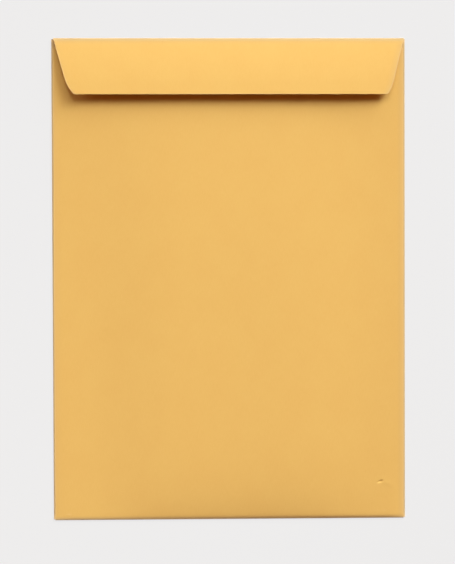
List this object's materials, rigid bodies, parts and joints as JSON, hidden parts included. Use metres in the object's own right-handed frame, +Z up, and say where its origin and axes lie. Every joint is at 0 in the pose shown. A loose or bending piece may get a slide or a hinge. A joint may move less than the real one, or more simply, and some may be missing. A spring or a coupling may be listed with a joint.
{
  "type": "paper envelope",
  "caption": "Open-end document envelope folded from one sheet of golden kraft paper, lying empty on its address side with the seal flap folded over and slightly raised.",
  "frame": {"origin": "on the surface that the envelope rests on, under the middle of its width and length", "axes": "+X across the envelope, +Y from the bottom fold to the top fold with the seal flap, +Z up, away from the address side"},
  "size_m": [0.229, 0.3124, 0.0063],
  "materials": {
    "kraft_paper": "matt, smooth calendered kraft paper, golden brown"
  },
  "bodies": {
    "root": {"envelope": "kraft_paper"}
  },
  "joints": []
}
